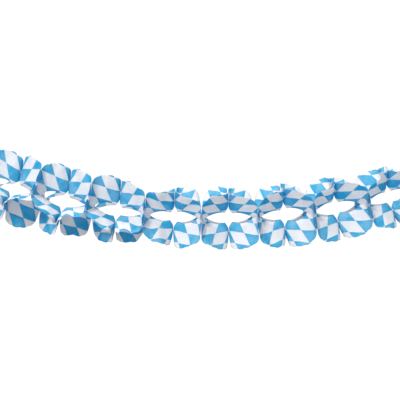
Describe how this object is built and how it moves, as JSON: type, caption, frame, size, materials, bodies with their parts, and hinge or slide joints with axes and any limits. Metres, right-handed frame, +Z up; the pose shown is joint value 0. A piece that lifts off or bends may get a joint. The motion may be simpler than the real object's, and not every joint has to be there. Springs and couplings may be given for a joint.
{
  "type": "paper garland",
  "caption": "Hanging pull-out garland of die-cut paper rings with petals, opened into a sagging chain of see-through cells between two stiff end cards.",
  "frame": {"origin": "centre of the thread hole in the outer face of the left end card, where the garland hangs", "axes": "+X along the garland from the left card to the right one, +Z up, -Y towards the viewer; the garland hangs and sags in the XZ plane"},
  "size_m": [0.9153, 0.16, 0.2134],
  "materials": {
    "paper": "thin smooth tissue paper, printed with blue and white lozenges, matte",
    "board": "matte uncoated grey-white board"
  },
  "bodies": {
    "root": {"sheet_01": "paper", "sheet_02": "paper", "sheet_03": "paper", "sheet_04": "paper", "sheet_05": "paper", "sheet_06": "paper", "sheet_07": "paper", "sheet_08": "paper", "sheet_09": "paper", "sheet_10": "paper", "sheet_11": "paper", "sheet_12": "paper", "sheet_13": "paper", "sheet_14": "paper", "sheet_15": "paper", "sheet_16": "paper", "sheet_17": "paper", "sheet_18": "paper", "end_card_left": "board", "end_card_right": "board"}
  },
  "joints": []
}
